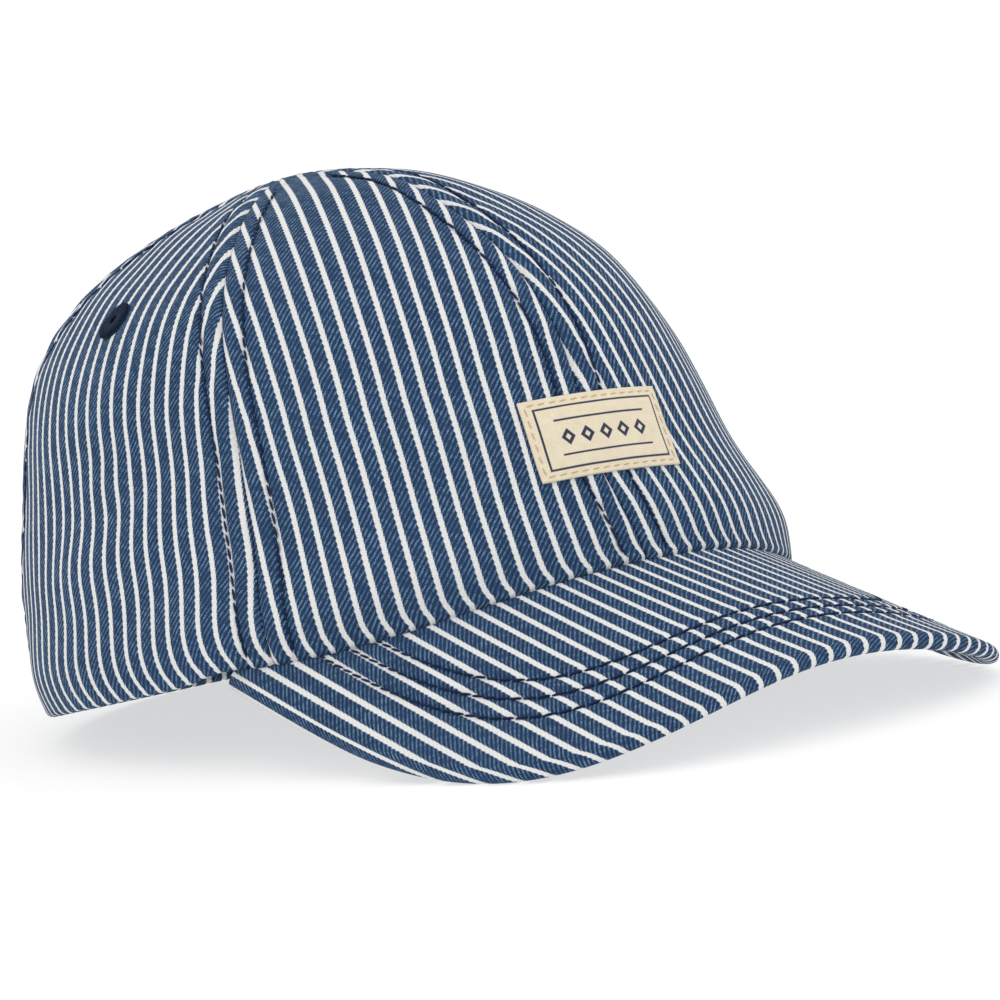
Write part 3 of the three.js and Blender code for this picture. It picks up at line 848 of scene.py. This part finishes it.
def label_finish():
    material, start = new_finish("label_cotton", Roughness=0.85, Sheen_Weight=0.15)
    x, y, uv = flat_map(start, "cloth")
    rib_x = (x * 2 * math.pi / 0.42).sine()
    rib_y = (y * 2 * math.pi / 0.36).sine()
    patch = cloud(uv, 40.0)
    ground = rib_x * 0.08 + rib_y * 0.14 + patch * 0.7 + 0.05
    cotton = ground.mix(rgb(222, 207, 178), rgb(246, 236, 212))
    wobble = (rib_x * rib_y) * 0.06
    left, tall = LABEL_WIDTH / 2 - 2.6, LABEL_HEIGHT / 2 - 2.3
    frame_gap = (x.size() - left).math("MAXIMUM", y.size() - tall).size() + wobble
    frame_line = frame_gap.step(0.32, 0.16)
    rule = ((y.size() - 3.9).size() + wobble).step(0.30, 0.16) * x.size().step(11.2, 10.9)
    lozenge = (((x / 4.4 + 0.5).fraction() - 0.5).size() * 4.4 + y.size() * 0.85 + wobble)
    row = lozenge.step(1.75, 1.5) * x.size().step(11.2, 10.9)
    heart = lozenge.step(0.75, 0.55)
    ink = frame_line.math("MAXIMUM", rule).math("MAXIMUM", row * (1.0 - heart))
    dye = (rib_y * 0.2 + patch * 0.6).mix(rgb(24, 34, 58), rgb(52, 64, 92))
    feed(start, Base_Color=ink.mix(cotton, dye),
         Normal=bump(rib_x * 0.4 + rib_y * 0.6 + ink * 0.5, 0.4, 0.00012))
    return material


# %% [markdown]
# ### Laying the label over the seam
# The label is a sheet laid on the crown's surface, a little proud of it in the middle and pulled
# down along its row of stitches, as a sewn label is.

# %% Lay the label over the seam
def label_place(u, v, offset):
    turned_u = u * math.cos(LABEL_TURN) - v * math.sin(LABEL_TURN)
    turned_v = u * math.sin(LABEL_TURN) + v * math.cos(LABEL_TURN)
    climb = LABEL_CLIMB + turned_v / float(meridian_length(0.0))
    radius = np.linalg.norm(crown_skin(0.02, climb) - crown_skin(-0.02, climb), axis=-1) / 0.04
    return crown_point(turned_u / radius, climb, offset), turned_u / radius, climb


label_u, label_v = np.meshgrid(np.linspace(-1, 1, 45), np.linspace(-1, 1, 25), indexing="ij")
u_mm, v_mm = label_u * LABEL_WIDTH / 2, label_v * LABEL_HEIGHT / 2
edge_gap = np.minimum(LABEL_WIDTH / 2 - np.abs(u_mm), LABEL_HEIGHT / 2 - np.abs(v_mm))
swell = 0.62 + 0.30 * smooth(edge_gap, 0.9, 3.5) - 0.10 * np.exp(-((edge_gap - 1.1) / 0.5) ** 2)
swell += 0.10 * np.sin(u_mm * 0.55 + 0.8) * np.cos(v_mm * 0.5) * smooth(edge_gap, 1, 4)
label_points, _, _ = label_place(u_mm, v_mm, swell)
flat = np.stack([-u_mm, v_mm], -1)
seam = np.stack([edge_gap, u_mm], -1)
label = cloth_grid("label", label_points, flat, seam, turn_over=True)
thicken(label, 0.55)
dress(label, "label", "label_cotton", label_finish())

bm = bmesh.new()
inset_u, inset_v = LABEL_WIDTH / 2 - 1.1, LABEL_HEIGHT / 2 - 1.1
corners = [(-1, -1), (1, -1), (1, 1), (-1, 1), (-1, -1)]
for (u0, v0), (u1, v1) in zip(corners, corners[1:]):
    line_u = np.linspace(u0, u1, 40) * inset_u
    line_v = np.linspace(v0, v1, 40) * inset_v
    points, turn, climb = label_place(line_u, line_v, np.full(40, 0.62))
    stitch_row(bm, points, crown_normal(turn, climb), stitch=1.5, gap=0.9, thick=0.3)
finish_stitches("label_stitching", bm, tan_thread, slot="label_cotton")

# %% [markdown]
# ## Floor, light and camera
# The cap stands on a plain white floor under soft light from above and from the left, with a pale
# sky round it. The camera stands low on the wearer's right, and is turned a little about its own
# axis, as the picture is.

# %% The floor and the lights
bm = bmesh.new()
bmesh.ops.create_grid(bm, x_segments=1, y_segments=1, size=60)
floor_mesh = bpy.data.meshes.new("floor")
bm.to_mesh(floor_mesh)
bm.free()
floor = bpy.data.objects.new("floor", floor_mesh)
bpy.context.scene.collection.objects.link(floor)
floor_white, start = new_finish("floor_white", Roughness=0.9, Specular_IOR_Level=0.0,
                                Emission_Strength=0.62, Emission_Color=(1, 1, 1, 1))
floor_shade = cloud(object_spot(start), 3.0, 1.0)
feed(start, Base_Color=floor_shade.mix(rgb(167, 167, 167), rgb(170, 170, 170)))
floor_mesh.materials.append(floor_white)

world = bpy.data.worlds.new("studio")
bpy.context.scene.world = world
world.use_nodes = True
world.node_tree.nodes["Background"].inputs["Color"].default_value = (1, 1, 1, 1)
world.node_tree.nodes["Background"].inputs["Strength"].default_value = 1.0


def softbox(name, place, aim, size, power):
    light = bpy.data.lights.new(name, "AREA")
    light.shape, light.size, light.size_y, light.energy = "RECTANGLE", size, size, power
    lamp = bpy.data.objects.new(name, light)
    lamp.location = place
    lamp.rotation_euler = (Vector(aim) - Vector(place)).to_track_quat("-Z", "Y").to_euler()
    bpy.context.scene.collection.objects.link(lamp)


softbox("key", (-1.1, -1.3, 1.5), (0, 0, 0.05), 0.9, 3.5)
softbox("top", (0.3, 0.2, 1.9), (0, 0, 0.05), 1.4, 2.5)

# %% [markdown]
# ### The camera
# A long lens from just over a metre away gives the flat perspective of the picture. The view is
# turned about its own axis, because the cap leans in the picture and not on the table.

# %% The camera
AZIMUTH, ELEVATION, ROLL = math.radians(35.54), math.radians(6.165), math.radians(7.223)
DISTANCE, FOCAL = 1146.0, 5510.0
back = np.array([-math.sin(AZIMUTH) * math.cos(ELEVATION),
                 -math.cos(AZIMUTH) * math.cos(ELEVATION), math.sin(ELEVATION)])
aim = np.array([0, -40.48, 43.84])
right = unit(np.cross([0, 0, 1], back))
up = np.cross(back, right)
turned_right = right * math.cos(ROLL) - up * math.sin(ROLL)
turned_up = right * math.sin(ROLL) + up * math.cos(ROLL)
camera_data = bpy.data.cameras.new("camera")
camera_data.sensor_width = 36
camera_data.lens = FOCAL * 36 / 1000
camera_data.clip_end = 200
camera = bpy.data.objects.new("camera", camera_data)
axes = Matrix((turned_right, turned_up, back)).transposed().to_4x4()
stand = Vector(to_metres(aim + back * DISTANCE))
camera.matrix_world = Matrix.Translation(stand) @ axes
bpy.context.scene.collection.objects.link(camera)
bpy.context.scene.camera = camera
bpy.context.scene.view_settings.view_transform = "Standard"
